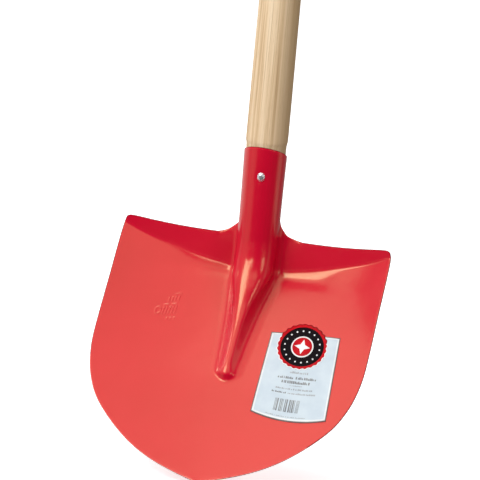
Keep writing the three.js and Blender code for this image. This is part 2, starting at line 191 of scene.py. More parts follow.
def sheet_grid():
    """Vertices and quads of the sheet's front surface, as one T-shaped grid."""
    r_up, r_low = R_TUBE + R_OPEN, R_WALL + R_PAN

    def low(a, r):
        if r <= R_WALL:
            q = WALL_ROWS[r]
            return float(top_edge(a) + (crease(a) - top_edge(a)) * q), 134.6 + 1.3 * q
        t = PAN_ROWS[r - R_WALL - 1]
        b = (1 - t / 0.72) ** 2 if t < 0.72 else 0.0
        return float(edge_z(t) + (crease(a) - crease(1.0)) * b), float(edge_x(t))

    verts, index = [], {}

    def put(k, p):
        index[k] = len(verts)
        verts.append(p)

    for c in range(0, NC + 1):
        s = c / NC
        for r in range(r_up + 1):
            if r <= R_TUBE:
                v = r / R_TUBE
                z = MOUTH_SLANT * 21.6 * math.cos(s * (180 - SEAM_HALF) * DEG) * (1 - v) + SEAM_END * v
            else:
                z = SEAM_END + (SHOULDER_Z - SEAM_END) * (r - R_TUBE) / R_OPEN
            for side in (1, -1) if c else (1,):
                x, y = upper(s, z, side)
                put(("m", side * c, r), (side * x, y, z))
        for r in range(1, r_low + 1):
            z, w = low(J * s, r)
            x, y = middle(s, z, w)
            put(("m", c, r_up + r), (x, y, z))
            if c:
                put(("m", -c, r_up + r), (-x, y, z))
    for side, us in WING.items():
        for i, u in enumerate(us):
            for r in range(r_low + 1):
                z, w = low(u, r)
                put(("w", side * (i + 1), r), (side * u * w, float(base_y(u, z)), z))
    quads = []
    for c in range(-NC, NC):
        for r in range(r_up + r_low):
            quads.append([index["m", c, r], index["m", c, r + 1], index["m", c + 1, r + 1], index["m", c + 1, r]])
    for side in (-1, 1):
        for i in range(len(WING[side])):
            for r in range(r_low):
                def at(a, b):
                    return index["m", side * NC, r_up + b] if a == 0 else index["w", side * a, b]
                q = [at(i, r), at(i, r + 1), at(i + 1, r + 1), at(i + 1, r)]
                quads.append(q if side > 0 else q[::-1])
    return np.array(verts), np.array(quads)


def relax_strip(verts, quads, passes, keep):
    """Takes the small steps out where the shoulders run into the wall: a few smoothing passes on the points in keep."""
    n = len(verts)
    a = np.concatenate([quads[:, i] for i in range(4)])
    b = np.concatenate([quads[:, (i + 1) % 4] for i in range(4)])
    e = np.unique(np.sort(np.column_stack([a, b]), axis=1), axis=0)
    deg_ = np.bincount(e.ravel(), minlength=n)[:, None]
    v = verts.copy()
    for _ in range(passes):
        acc = np.zeros_like(v)
        np.add.at(acc, e[:, 0], v[e[:, 1]])
        np.add.at(acc, e[:, 1], v[e[:, 0]])
        v = v + keep[:, None] * 0.5 * (acc / deg_ - v)
    return v


def normals(verts, quads):
    n = np.zeros_like(verts)
    a, b, c, d = (verts[quads[:, i]] for i in range(4))
    f = np.cross(c - a, d - b)
    for i in range(4):
        np.add.at(n, quads[:, i], f)
    return n / np.linalg.norm(n, axis=1)[:, None]


def boundary(quads):
    """Boundary edges, in their quads' own direction."""
    seen = {}
    for q in quads.tolist():
        for i in range(4):
            e = (q[i], q[(i + 1) % 4])
            if (e[1], e[0]) in seen:
                del seen[e[1], e[0]]
            else:
                seen[e] = True
    return list(seen)


def thicken(front, quads, thick, rim=4, back=None):
    """Closed solid from a front surface: a parallel back surface and a rounded rim."""
    n = normals(front, quads)
    nv = len(front)
    pts = [front, front - n * thick if back is None else back]
    faces = quads.tolist() + (quads[:, ::-1] + nv).tolist()
    edges = boundary(quads)
    nxt = dict(edges)
    prv = {b: a for a, b in edges}
    ids = [a for a, b in edges]
    tang = np.array([front[nxt[i]] - front[prv[i]] for i in ids])
    tang /= np.linalg.norm(tang, axis=1)[:, None]
    nb = n[ids]
    out = np.cross(tang, nb)
    mid = (pts[0][ids] + pts[1][ids]) / 2
    hub = pts[0][ids] - mid
    half = np.linalg.norm(hub, axis=1)[:, None]
    rings = [{i: i for i in ids}]
    total = 2 * nv
    for k in range(1, rim):
        a = math.pi * k / rim
        pts.append(mid + hub * math.cos(a) + out * half * math.sin(a) * 0.8)
        rings.append({i: total + j for j, i in enumerate(ids)})
        total += len(ids)
    rings.append({i: i + nv for i in ids})
    for a, b in edges:
        for k in range(rim):
            faces.append([rings[k][b], rings[k][a], rings[k + 1][a], rings[k + 1][b]])
    return np.concatenate(pts), faces


# ------------------------------------------------------------------ meshes and materials
def put(name, pts, faces, material, slot, node=None, flat=False, extra=()):
    pts = (np.asarray(pts) + [0, AXIS_Y, MOUTH_Z]) / 1000
    mesh = bpy.data.meshes.new(name)
    mesh.from_pydata(pts.tolist(), [], [list(map(int, f)) for f in faces])
    mesh.validate()
    mesh.update()
    o = bpy.data.objects.new(name, mesh)
    bpy.context.scene.collection.objects.link(o)
    if not flat:
        mesh.polygons.foreach_set("use_smooth", [True] * len(mesh.polygons))
    mesh.materials.append(material)
    for m in extra:
        mesh.materials.append(m)
    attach(o, "root")
    if node:
        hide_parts(node)
    return o


class Nodes:
    def __init__(self, name):
        self.mat = bpy.data.materials.new(name)
        self.mat.use_nodes = True
        self.t = self.mat.node_tree
        self.b = self.t.nodes["Principled BSDF"]
        self.co = self.t.nodes.new("ShaderNodeTexCoord").outputs["Object"]

    def new(self, kind, inputs=None, **props):
        n = self.t.nodes.new(kind)
        for k, v in props.items():
            setattr(n, k, v)
        for k, v in (inputs or {}).items():
            if isinstance(v, bpy.types.NodeSocket):
                self.t.links.new(v, n.inputs[k])
            else:
                n.inputs[k].default_value = v
        return n

    def link(self, a, b):
        self.t.links.new(a, b)

    def mapping(self, scale, rot=(0, 0, 0), loc=(0, 0, 0)):
        return self.new("ShaderNodeMapping", {"Vector": self.co, "Scale": scale, "Rotation": rot, "Location": loc}).outputs[0]

    def noise(self, vec, scale, detail=3, rough=0.5, distortion=0.0):
        return self.new("ShaderNodeTexNoise", {"Vector": vec, "Scale": scale, "Detail": detail, "Roughness": rough, "Distortion": distortion}).outputs["Fac"]

    def ramp(self, fac, stops):
        r = self.new("ShaderNodeValToRGB", {"Fac": fac})
        e = r.color_ramp.elements
        while len(e) < len(stops):
            e.new(0.5)
        for i, (p, c) in enumerate(stops):
            e[i].position = p
            e[i].color = (*c, 1) if len(c) == 3 else c
        return r.outputs["Color"]

    def mix(self, fac, a, b, mode="MIX"):
        n = self.new("ShaderNodeMix", data_type="RGBA", blend_type=mode)
        for sock, v in ((n.inputs[0], fac), (n.inputs[6], a), (n.inputs[7], b)):
            if isinstance(v, bpy.types.NodeSocket):
                self.t.links.new(v, sock)
            else:
                sock.default_value = v if not isinstance(v, tuple) or len(v) == 4 else (*v, 1)
        return n.outputs[2]

    def math(self, op, a, b=None, c=None, clamp=False):
        n = self.new("ShaderNodeMath", operation=op, use_clamp=clamp)
        for i, v in enumerate((a, b, c)):
            if v is None:
                continue
            if isinstance(v, bpy.types.NodeSocket):
                self.t.links.new(v, n.inputs[i])
            else:
                n.inputs[i].default_value = v
        return n.outputs[0]

    def bump(self, height, strength, distance, normal=None):
        ins = {"Height": height, "Strength": strength, "Distance": distance}
        if normal is not None:
            ins["Normal"] = normal
        return self.new("ShaderNodeBump", ins).outputs[0]


def srgb(r, g, b):
    return tuple(((c / 255) / 12.92 if c <= 10 else (((c / 255) + 0.055) / 1.055) ** 2.4) for c in (r, g, b))


def paint_material():
    n = Nodes("red_enamel")
    one = n.mapping((1, 1, 1))
    broad = n.noise(one, 9, 3, 0.55)
    col = n.ramp(broad, [(0.3, (0.545, 0.0028, 0.024)), (0.7, (0.59, 0.0040, 0.029))])
    n.link(col, n.b.inputs["Base Color"])
    rough = n.math("ADD", n.math("MULTIPLY", n.noise(one, 45, 4, 0.6), 0.08), 0.17)
    n.link(rough, n.b.inputs["Roughness"])
    n.b.inputs["Specular IOR Level"].default_value = 0.60
    n.b.inputs["Specular Tint"].default_value = (1.0, 0.97, 0.42, 1)
    n.b.inputs["Coat Weight"].default_value = 0.20
    n.b.inputs["Coat Roughness"].default_value = 0.10
    waves = n.noise(one, 38, 2, 0.5)
    peel = n.noise(one, 330, 2, 0.5)
    b1 = n.bump(waves, 0.25, 0.0010)
    b2 = n.bump(peel, 0.20, 0.00022, b1)
    n.link(b2, n.b.inputs["Normal"])
    n.link(b2, n.b.inputs["Coat Normal"])
    return n.mat


def edge_shade_material():
    """The sheared edge: coloured dark red as painted shade, for the dark outline the edge shows in shade."""
    n = Nodes("red_enamel_edge_painted_shade")
    one = n.mapping((1, 1, 1))
    v = n.noise(one, 160, 4, 0.65)
    n.link(n.ramp(v, [(0.35, (0.10, 0.004, 0.010)), (0.65, (0.22, 0.006, 0.014))]), n.b.inputs["Base Color"])
    n.link(n.math("ADD", n.math("MULTIPLY", v, 0.25), 0.40), n.b.inputs["Roughness"])
    n.b.inputs["Specular IOR Level"].default_value = 0.12
    n.link(n.bump(v, 0.3, 0.0003), n.b.inputs["Normal"])
    return n.mat


def ash_material():
    n = Nodes("ash_wood")
    rings = n.noise(n.mapping((1, 1, 0.018)), 210, 3, 0.55, 0.25)
    fine = n.noise(n.mapping((1, 1, 0.012)), 900, 3, 0.6)
    pores = n.noise(n.mapping((1, 1, 0.035)), 1500, 2, 0.6)
    tone = n.noise(n.mapping((1, 1, 0.06)), 34, 3, 0.55)
    light, mid, dark = (0.86, 0.680, 0.450), (0.74, 0.545, 0.330), (0.44, 0.280, 0.140)
    col = n.ramp(rings, [(0.30, dark), (0.42, mid), (0.56, light), (0.74, (0.92, 0.77, 0.56))])
    col = n.mix(n.ramp(tone, [(0.38, (0, 0, 0)), (0.70, (0.5, 0.5, 0.5))]), col, (0.66, 0.48, 0.29, 1))
    col = n.mix(n.ramp(fine, [(0.30, (0.55, 0.55, 0.55)), (0.50, (0, 0, 0))]), col, (*dark, 1))
    col = n.mix(n.ramp(pores, [(0.26, (0.5, 0.5, 0.5)), (0.40, (0, 0, 0))]), col, (0.36, 0.22, 0.11, 1))
    # painted shade: the handle is coloured browner towards +X, its right side in the main view, where it lies in shade
    across = n.new("ShaderNodeSeparateXYZ", {"Vector": n.co}).outputs["X"]
    right_side_shade = n.new("ShaderNodeMapRange", {"Value": n.math("ADD", across, n.math("MULTIPLY", rings, 0.006)), "From Min": 0.006, "From Max": 0.024}).outputs[0]
    col = n.mix(n.math("MULTIPLY", right_side_shade, 0.80), col, (0.42, 0.270, 0.130, 1))
    n.link(col, n.b.inputs["Base Color"])
    n.link(n.math("ADD", n.math("MULTIPLY", fine, 0.20), 0.50), n.b.inputs["Roughness"])
    n.b.inputs["Specular IOR Level"].default_value = 0.12
    n.link(n.bump(fine, 0.5, 0.0004, n.bump(rings, 0.25, 0.0006)), n.b.inputs["Normal"])
    return n.mat


def steel_material(name, tint, rough, metal):
    n = Nodes(name)
    spots = n.noise(n.mapping((1, 1, 1)), 420, 4, 0.6)
    col = n.ramp(spots, [(0.3, tuple(c * 0.82 for c in tint)), (0.7, tint)])
    n.link(col, n.b.inputs["Base Color"])
    n.b.inputs["Metallic"].default_value = metal
    n.link(n.math("ADD", n.math("MULTIPLY", spots, 0.22), rough), n.b.inputs["Roughness"])
    n.link(n.bump(n.noise(n.mapping((1, 1, 1)), 900, 3, 0.6), 0.2, 0.0001), n.b.inputs["Normal"])
    return n.mat


def print_material(name, c1, c2, rough=0.42, coat=0.0, metal=0.0, spec=0.15):
    n = Nodes(name)
    v = n.noise(n.mapping((1, 1, 1)), 70, 3, 0.5)
    n.link(n.ramp(v, [(0.35, c1), (0.65, c2)]), n.b.inputs["Base Color"])
    n.link(n.math("ADD", n.math("MULTIPLY", n.noise(n.mapping((1, 1, 1)), 260, 3, 0.6), 0.14), rough - 0.07), n.b.inputs["Roughness"])
    n.b.inputs["Coat Weight"].default_value = coat
    n.b.inputs["Metallic"].default_value = metal
    n.b.inputs["Specular IOR Level"].default_value = spec
    n.link(n.bump(n.noise(n.mapping((1, 1, 1)), 180, 2, 0.5), 0.12, 0.0002), n.b.inputs["Normal"])
    return n.mat


paint = paint_material()
# painted shade: a dark red for the blade's rim faces, the dark outline along the sheet's edge
painted_shade_edge = edge_shade_material()
# painted highlight: a light pink for the bright line along the rounded front corner of the lower edge
painted_edge_highlight = print_material("red_enamel_painted_highlight", srgb(240, 120, 112), srgb(250, 150, 140), 0.35, 0.0, 0.0, 0.5)
ash = ash_material()
steel = steel_material("rivet_steel", (0.93, 0.94, 0.96), 0.14, 0.80)
zinc = steel_material("washer_steel", (0.66, 0.67, 0.69), 0.28, 0.9)
film = print_material("label_film", srgb(184, 196, 203), srgb(192, 203, 208))
# painted shadow: a dark brownish grey for the hairline shadow round the label
label_shadow_edge = print_material("label_edge_painted_shadow", srgb(96, 86, 84), srgb(116, 104, 100), 0.6)
ink_pale = print_material("label_ink_pale", srgb(150, 154, 156), srgb(166, 170, 170), 0.5)
film_white = print_material("label_margin", srgb(212, 215, 214), srgb(218, 221, 219))
ink = print_material("label_ink", srgb(120, 122, 122), srgb(136, 138, 136), 0.5)
seal_red = print_material("seal_red", srgb(168, 8, 20), srgb(184, 12, 24), 0.42, 0.0, 0.0, 0.08)
seal_red_dark = print_material("seal_red_edge", srgb(110, 8, 18), srgb(134, 10, 20), 0.5, 0.0, 0.0, 0.05)
seal_grey = print_material("seal_grey", srgb(52, 56, 58), srgb(64, 68, 70), 0.5, 0.0, 0.0, 0.05)
seal_black = print_material("seal_black", srgb(10, 3, 7), srgb(16, 6, 10), 0.38, 0.0, 0.0, 0.05)
seal_white = print_material("seal_white", srgb(218, 220, 218), srgb(226, 226, 224))

# ------------------------------------------------------------------ blade with its socket
verts, quads = sheet_grid()
keep = smooth(-100, -90, verts[:, 2]) * (1 - smooth(-62, -54, verts[:, 2])) * (np.abs(verts[:, 0]) < 62)
edge_ids = np.unique(np.array(boundary(quads)).ravel())
keep[edge_ids] = 0
verts = relax_strip(verts, quads, 12, keep)

# a shallow dimple where the rivet is drawn down, and a small dent below it
th = np.arctan2(verts[:, 0], -verts[:, 1])
on_tube = verts[:, 2] > -60
for a0, z0, depth, size in ((6 * DEG, RIVET_Z, 0.75, 5.2), (1 * DEG, -38.5, 0.22, 2.2)):
    d2 = ((th - a0) * 21) ** 2 + (verts[:, 2] - z0) ** 2
    f = np.where(on_tube, depth * np.exp(-d2 / size ** 2), 0)
    verts[:, 0] -= np.sin(th) * f
    verts[:, 1] += np.cos(th) * f

# a small raised works mark on the left of the pan: a ring, short strokes and dots, no letters
def stroke(x, z, x0, z0, x1, z1, half):
    dx, dz = x1 - x0, z1 - z0
    t = np.clip(((x - x0) * dx + (z - z0) * dz) / max(dx * dx + dz * dz, 1e-9), 0, 1)
    d = np.hypot(x - x0 - t * dx, z - z0 - t * dz)
    return np.exp(-(d / half) ** 4)


sx, sz = verts[:, 0], verts[:, 2]
near = (sx < -58) & (sx > -92) & (sz < -142) & (sz > -176)
rise = np.zeros(len(verts))
X, Z = sx[near], sz[near]
mark = np.exp(-((np.hypot(X + 84.0, Z + 163.0) - 2.7) / 0.75) ** 2)
for k in range(5):
    mark = np.maximum(mark, stroke(X, Z, -79.5 + 2.9 * k, -165.2 + 0.45 * k, -78.9 + 2.9 * k, -160.2 + 0.45 * k, 0.75))
mark = np.maximum(mark, stroke(X, Z, -79.5, -158.0, -75.5, -157.4, 0.7))
mark = np.maximum(mark, stroke(X, Z, -72.0, -157.0, -68.2, -156.4, 0.7))
for k in range(4):
    mark = np.maximum(mark, stroke(X, Z, -76.2 + 3.0 * k, -154.4 + 0.5 * k, -76.2 + 3.0 * k, -151.6 + 0.5 * k, 0.8))
mark = np.maximum(mark, stroke(X, Z, -71.5, -148.6, -66.0, -147.6, 0.7))
for k in range(3):
    mark = np.maximum(mark, stroke(X, Z, -74.0 + 3.4 * k, -169.2 + 0.4 * k, -73.4 + 3.4 * k, -169.1 + 0.4 * k, 0.8))
halo = np.exp(-(((X + 74) / 13) ** 2 + ((Z + 159) / 11) ** 2) ** 2)
rise[near] = 0.42 * mark - 0.12 * halo
verts = verts + normals(verts, quads) * rise[:, None]

pts, faces = thicken(verts, quads, SHEET)
blade = put("blade_pressing", pts, faces, paint, "blade_paint", "blade", extra=[painted_shade_edge, painted_edge_highlight])
n_skin = 2 * len(quads)
ids = np.zeros(len(blade.data.polygons), int)
# the rim faces of the sheet take the dark red painted shade
ids[n_skin:] = 1
# painted highlight: the front ring of the rim along the lower outline is coloured light pink for the bright line it
# shows there
for k in range(n_skin, len(faces)):
    x, y, z = pts[faces[k]].mean(axis=0)
    if (k - n_skin) % 4 == 0 and z < -205 and x < 100:
        ids[k] = 2
blade.data.polygons.foreach_set("material_index", ids.tolist())


# ------------------------------------------------------------------ turned pieces
def lathe(profile, sides, close=True):
    prof = np.array(profile, float)
    pts, faces, rows = [], [], []
    for r, h in prof:
        if r < 1e-6:
            rows.append([len(pts)])
            pts.append((0, 0, h))
        else:
            rows.append(list(range(len(pts), len(pts) + sides)))
            for i in range(sides):
                a = 2 * math.pi * i / sides
                pts.append((r * math.cos(a), r * math.sin(a), h))
    for k in range(len(rows) - 1 + (0 if len(rows[0]) == 1 else 1)):
        a, b = rows[k], rows[(k + 1) % len(rows)]
        for i in range(sides):
            j = (i + 1) % sides
            if len(a) == 1 and len(b) == 1:
                continue
            if len(a) == 1:
                faces.append([a[0], b[j], b[i]])
            elif len(b) == 1:
                faces.append([a[i], a[j], b[0]])
            else:
                faces.append([a[i], a[j], b[j], b[i]])
    return np.array(pts, float), faces


def inside(z):
    return float(socket_r(z)) - SHEET - 0.42


prof = [[0, -98], [8, -98], [11.2, -98], [12.2, -97.4], [12.8, -96.2]]
for z in np.linspace(-92, 9.0, 34):
    prof.append([min(inside(z), 12.8 + (z + 96.2) * 0.205 if z < -60 else 99), z])
body = table([[9.0, inside(9.0)], [11.0, 20.3], [13.5, 20.85], [17, 20.93], [160, 20.64], [620, 19.4], [1150, 18.2], [1176, 17.95]])
for z in np.concatenate([np.linspace(10, 20, 12), np.linspace(26, 1170, 170)]):
    prof.append([float(body(z)), z])
for k in range(1, 15):
    a = k / 14 * math.pi / 2
    prof.append([12.0 + 5.95 * math.cos(a) ** 0.9 if k < 14 else 12.0, 1172 + 30 * math.sin(a)])
prof += [[8, 1202], [0, 1202]]
pts, faces = lathe(prof, 128)
handle = put("ash_handle", pts, faces, ash, "ash_wood", "handle")


def on_rivet(pts):
    """A turned piece standing along +Z goes to the rivet's line, +Z pointing out of the front of the socket."""
    x, y, z = pts.T
    p = np.column_stack([x, -z, y])
    a = 6 * DEG
    c, s = math.cos(a), math.sin(a)
    return np.column_stack([c * p[:, 0] - s * p[:, 1], s * p[:, 0] + c * p[:, 1], p[:, 2] + RIVET_Z])


seat = float(socket_r(RIVET_Z)) - 0.55
tail = float(socket_r(RIVET_Z)) + 0.32 + 1.3 + 0.05
head = [[0, seat + 2.35]]
for k in range(1, 12):
    a = k / 12 * math.pi / 2
    head.append([3.7 * math.sin(a) ** 0.95, seat + 0.55 + 1.8 * math.cos(a)])
head += [[3.85, seat + 0.5], [4.15, seat + 0.42], [4.3, seat + 0.2], [4.3, seat], [4.0, seat - 0.1], [2.9, seat - 0.1], [2.9, 0], [2.9, -tail], [3.9, -tail], [4.1, -tail - 0.2]]
for k in range(1, 8):
    a = k / 8 * math.pi / 2
    head.append([4.1 * math.cos(a), -tail - 0.25 - 1.45 * math.sin(a)])
head.append([0, -tail - 1.7])
pts, faces = lathe(head[::-1], 64)
front = pts[:, 2] > seat - 0.2           # the head is set slightly oval
pts[front] *= (0.88, 1.05, 1)
rivet = put("rivet_domed", on_rivet(pts), faces, steel, "rivet_steel", "rivet")

s0 = float(socket_r(RIVET_Z)) + 0.1
wash = [[3.1, -s0 - 1.25], [3.3, -s0 - 1.4], [6.3, -s0 - 1.3], [6.7, -s0 - 1.2], [6.95, -s0 - 0.9], [7.0, -s0 - 0.5], [7.0, -s0 - 0.15], [6.8, -s0], [3.1, -s0]]
pts, faces = lathe(wash, 72)
washer = put("rivet_burr", on_rivet(pts), faces, zinc, "washer_steel", "rivet_washer")


# ------------------------------------------------------------------ label and seal: thin films that follow the pan
def pan_points(xz, lift):
    """Points on the pan's front, moved off it by lift."""
    xz = np.asarray(xz, float)

    def y(x, z):
        return base_y(x / width_at(z), z)

    x, z = xz[:, 0], xz[:, 1]
    h = 0.5
    yx = (y(x + h, z) - y(x - h, z)) / (2 * h)
    yz = (y(x, z + h) - y(x, z - h)) / (2 * h)
    n = np.column_stack([yx, -np.ones_like(yx), yz])
    n /= np.linalg.norm(n, axis=1)[:, None]
    return np.column_stack([x, y(x, z), z]) + n * lift


TL, TR, BR, BL = map(np.array, ([32.7, -169.0], [104.5, -164.0], [112.0, -234.5], [34.0, -236.0]))


def label_xz(u, v):
    """Label coordinates, u to the right and v down, 0..1, on the pan; the lower edge is an arc."""
    u, v = np.asarray(u, float), np.asarray(v, float)
    p = ((1 - v) * (1 - u))[:, None] * TL + ((1 - v) * u)[:, None] * TR + (v * u)[:, None] * BR + (v * (1 - u))[:, None] * BL
    p[:, 1] -= 5.0 * v * v * (1 - (2 * u - 1) ** 2)
    return p


def film_patch(name, u0, u1, v0, v1, lift, thick, mat, slot, node=None, nu=12, nv=12):
    us, vs = np.linspace(u0, u1, nu + 1), np.linspace(v0, v1, nv + 1)
    U, V = np.meshgrid(us, vs)
    front = pan_points(label_xz(U.ravel(), V.ravel()), lift + thick)
    q = [[r * (nu + 1) + c, (r + 1) * (nu + 1) + c, (r + 1) * (nu + 1) + c + 1, r * (nu + 1) + c + 1] for r in range(nv) for c in range(nu)]
    p, f = thicken(front, np.array(q), thick, rim=2)
    return p, f


def merged(parts):
    pts, faces, n = [], [], 0
    for p, f in parts:
        pts.append(p)
        faces += [[i + n for i in q] for q in f]
        n += len(p)
    return np.concatenate(pts), faces


p, f = film_patch("label", 0, 1, 0, 1, 0.12, 0.22, film, "label_paper", nu=48, nv=48)
label = put("label_film", p, f, film, "label_paper", "paper_label", extra=[label_shadow_edge])
# the label's rim faces take the dark painted shadow colour
ids = np.zeros(len(label.data.polygons), int)
ids[2 * 48 * 48:] = 1
label.data.polygons.foreach_set("material_index", ids.tolist())


def inked(name, rects, mat, nu=3, nv=1):
    p, f = merged([film_patch(name, u0, u1, v0, v1, 0.34, 0.03, None, None, nu=nu, nv=nv) for u0, u1, v0, v1 in rects])
    return put(name, p, f, mat, "label_paper")


inked("label_margins", [(0.012, 0.036, 0.012, 0.984)], film_white, 2, 40)
inked("label_margin_right", [(0.966, 0.988, 0.012, 0.984)], film_white, 2, 40)
inked("label_margin_foot", [(0.036, 0.966, 0.966, 0.986)], film_white, 40, 2)
inked("label_margin_top", [(0.036, 0.966, 0.010, 0.022)], film_white, 40, 2)
# painted shadow: dark strips along the label's four edges stand for the hairline shadow round it
inked("label_painted_shadow_outline", [(0.0, 0.012, 0.0, 1.0), (0.988, 1.0, 0.0, 1.0)], label_shadow_edge, 1, 40)
inked("label_painted_shadow_outline_ends", [(0.0, 1.0, 0.0, 0.010), (0.0, 1.0, 0.986, 1.0)], label_shadow_edge, 40, 1)

# rows of short bars stand for lines of print
rng = np.random.default_rng(7)
for name, mat, rows in (("label_print_bold", ink, [(0.507, 0.026, 0.245, 0.47), (0.503, 0.028, 0.49, 0.78), (0.553, 0.030, 0.31, 0.715), (0.682, 0.018, 0.21, 0.42)]),
                        ("label_print_fine", ink_pale, [(0.444, 0.024, 0.395, 0.645), (0.600, 0.010, 0.43, 0.60), (0.636, 0.018, 0.25, 0.755),
                                                        (0.682, 0.018, 0.43, 0.80), (0.945, 0.009, 0.20, 0.735)])):
    rects = []
    for v, h, u0, u1 in rows:
        u = u0
        while u < u1 - 0.012:
            w = min(float(rng.uniform(0.010, 0.022)), u1 - u)
            top = v + h * float(rng.choice([0, 0, 0.3]))
            rects.append((u, u + w, top, v + h))
            u += w + float(rng.choice([0.004, 0.005, 0.014]))
    inked(name, rects, mat)
rects, u = [], 0.285
for group in (3, 3, 2, 4, 3):
    for k in range(group):
        w = float(rng.choice([0.007, 0.012, 0.018]))
        rects.append((u, u + w, 0.762, 0.900))
        u += w + 0.008
    u += 0.012
inked("label_print_lines", rects, ink, 1, 4)

SEAL = np.array([67.9, -177.2])
SEAL_AXES = (0.995, 0.725)


def seal_patch(inner, outer, lift, thick, rings=6, steps=180):
    """Ring or disc between two outlines given as radius over the angle."""
    pts, q = [], []
    a = np.linspace(0, 2 * math.pi, steps, endpoint=False)
    for k in range(rings + 1):
        t = k / rings
        r = inner(a) * (1 - t) + outer(a) * t
        pts.append(np.column_stack([SEAL[0] + r * np.cos(a) * SEAL_AXES[0], SEAL[1] + r * np.sin(a) * SEAL_AXES[1]]))
    front = pan_points(np.concatenate(pts), lift + thick)
    for k in range(rings):
        for i in range(steps):
            j = (i + 1) % steps
            q.append([k * steps + i, (k + 1) * steps + i, (k + 1) * steps + j, k * steps + j])
    q = np.array(q)
    n = normals(front, q)
    if n[:, 1].mean() > 0:
        q = q[:, ::-1]
    return thicken(front, q, thick, rim=2)


def flat(r):
    return lambda a: np.full_like(a, r)


def scallop(r, d, n):
    return lambda a: r + d * np.cos(n * a)


def coin(name, inner, outer, lift, thick, mat, rings, steps, node=None):
    p, f = seal_patch(inner, outer, lift, thick, rings, steps)
    return put(name, p, f, mat, "seal_print", node)


edge = coin("seal_edge", flat(0.05), scallop(26.3, 0.5, 26), 0.36, 0.14, seal_red_dark, 12, 416, "round_seal")
# where the seal lies on the label a pale line of its backing shows
p, f = seal_patch(scallop(25.4, 0.5, 26), scallop(26.35, 0.5, 26), 0.50, 0.03, 1, 416)
n_ring = 416
sel = [i for i in range(n_ring) if p[f[i]].mean(axis=0)[2] < -170.5]
a = np.array(sel)
ring_pts = seal_points = p
keep_faces = [f[i] for i in sel]
used = sorted({i for q in keep_faces for i in q})
remap = {i: k for k, i in enumerate(used)}
front = p[used]
p2, f2 = thicken(front, np.array([[remap[i] for i in q] for q in keep_faces]), 0.03, rim=2)
put("seal_backing_line", p2, f2, seal_white, "seal_print")
coin("seal_ring", flat(0.05), scallop(25.35, 0.5, 26), 0.53, 0.03, seal_red, 10, 416)
coin("seal_disc", flat(0.05), flat(22.6), 0.56, 0.03, seal_black, 10, 240)

def small_ring(cx, cz, r0, r1, lift, steps=72):
    a = np.linspace(0, 2 * math.pi, steps, endpoint=False)
    pts = np.concatenate([np.column_stack([cx + r * np.cos(a), cz + r * np.sin(a) * 0.76]) for r in (r0, (r0 + r1) / 2, r1)])
    front = pan_points(SEAL + pts, lift + 0.03)
    q = np.array([[k * steps + i, (k + 1) * steps + i, (k + 1) * steps + (i + 1) % steps, k * steps + (i + 1) % steps] for k in range(2) for i in range(steps)])
    if normals(front, q)[:, 1].mean() > 0:
        q = q[:, ::-1]
    return thicken(front, q, 0.03, rim=2)


# a plain design: a red field in a pale ring, a four-cornered star of straight lines in it, and dots all round
p, f = small_ring(0, 0, 0.02, 11.6, 0.59, 120)
put("seal_field_outline", p, f, seal_white, "seal_print")
p, f = small_ring(0, 0, 0.02, 10.2, 0.62, 120)
put("seal_field", p, f, seal_red, "seal_print")


def plate(outline, lift, rings=3):
    """Thin film over a closed outline seen from its middle."""
    o = np.array(outline, float)
    m, steps = o.mean(axis=0), len(outline)
    pts = np.concatenate([m + (o - m) * t for t in np.linspace(0.02, 1, rings + 1)])
    front = pan_points(SEAL + pts, lift + 0.03)
    q = np.array([[k * steps + i, (k + 1) * steps + i, (k + 1) * steps + (i + 1) % steps, k * steps + (i + 1) % steps] for k in range(rings) for i in range(steps)])
    if normals(front, q)[:, 1].mean() > 0:
        q = q[:, ::-1]
    return thicken(front, q, 0.03, rim=2)


star = []
for k in range(8):
    r = (8.2, 3.4)[k % 2]
    star.append([r * math.sin(math.pi * k / 4), r * math.cos(math.pi * k / 4) * 0.76])
p, f = plate([(np.array(star[i]) * (1 - t) + np.array(star[(i + 1) % 8]) * t).tolist() for i in range(8) for t in (0, 0.25, 0.5, 0.75)], 0.65)
put("seal_star", p, f, seal_white, "seal_print")
dots = []
for k in range(18):
    a = 2 * math.pi * k / 18
    dots.append(plate([[18.4 * math.cos(a) * 0.995 + 0.85 * math.cos(b), 18.2 * math.sin(a) * 0.725 + 0.7 * math.sin(b)] for b in np.linspace(0, 2 * math.pi, 10, endpoint=False)], 0.59, 1))
p, f = merged(dots)
put("seal_dots", p, f, seal_white, "seal_print")

# ------------------------------------------------------------------ stage, camera and light
def stage_mesh(name, pts, faces, mat):
    mesh = bpy.data.meshes.new(name)
    mesh.from_pydata(pts, [], faces)
    o = bpy.data.objects.new(name, mesh)
    bpy.context.scene.collection.objects.link(o)
    mesh.materials.append(mat)
    return o


floor_mat = bpy.data.materials.new("pale_floor")
floor_mat.use_nodes = True
fb = floor_mat.node_tree.nodes["Principled BSDF"]
fb.inputs["Base Color"].default_value = (0.93, 0.93, 0.93, 1)
fb.inputs["Roughness"].default_value = 0.9
fb.inputs["Specular IOR Level"].default_value = 0.0
fb.inputs["Emission Color"].default_value = (1, 1, 1, 1)
fb.inputs["Emission Strength"].default_value = 0.62
S = 60.0
floor = stage_mesh("floor", [(-S, -S, -0.0005), (S, -S, -0.0005), (S, S, -0.0005), (-S, S, -0.0005)], [(0, 1, 2, 3)], floor_mat)
floor.visible_glossy = False
floor.visible_diffuse = False

